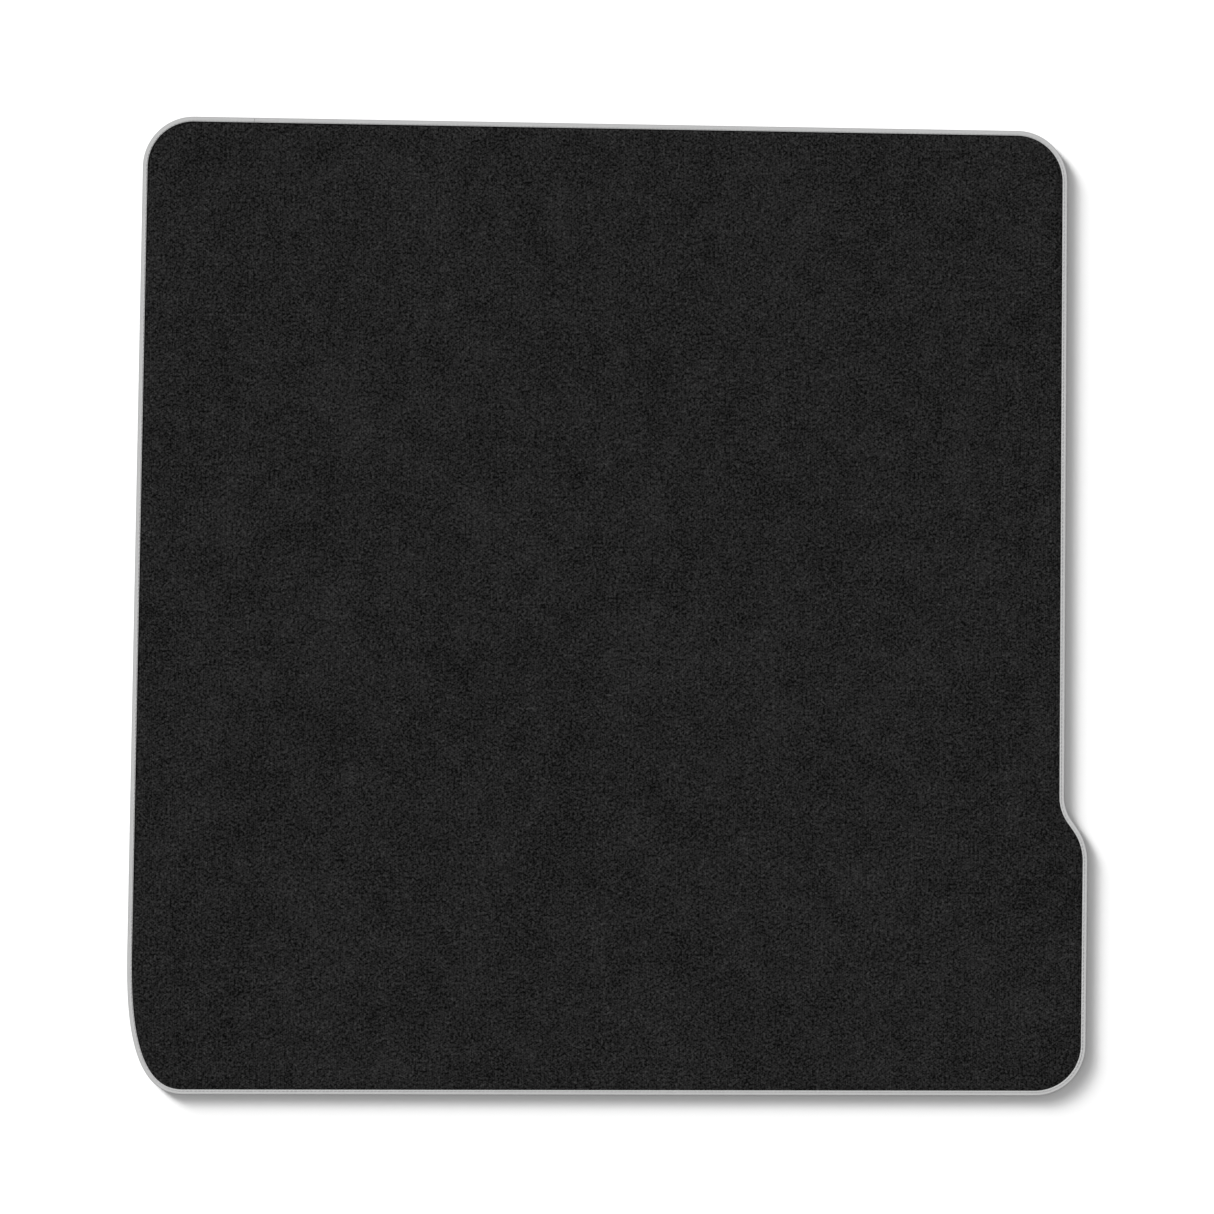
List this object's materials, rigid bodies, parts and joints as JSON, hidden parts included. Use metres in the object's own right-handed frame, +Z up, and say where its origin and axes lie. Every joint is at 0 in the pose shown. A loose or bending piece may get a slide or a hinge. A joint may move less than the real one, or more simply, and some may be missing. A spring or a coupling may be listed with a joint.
{
  "type": "fitted carpet mat",
  "caption": "Flat black cut-pile mat with a fitted outline, a grey folded edge binding and an anti-slip rubber backing.",
  "frame": {"origin": "middle of the bounding box, on the surface that the mat lies on", "axes": "+X to the side with the step, +Y to the front edge, +Z up out of the pile"},
  "size_m": [0.9606, 0.979, 0.0076],
  "materials": {
    "pile": "matt black cut pile",
    "primary_backing": "black nonwoven",
    "latex": "matt latex film",
    "rubber": "matt nibbed rubber",
    "tape": "light grey woven tape",
    "thread": "light grey twisted sewing thread"
  },
  "bodies": {
    "root": {"pile_carpet": "pile", "primary_backing": "primary_backing", "latex_coat": "latex", "rubber_backing": "rubber", "edge_binding": "tape", "needle_thread": "thread", "bobbin_thread": "thread"}
  },
  "joints": []
}
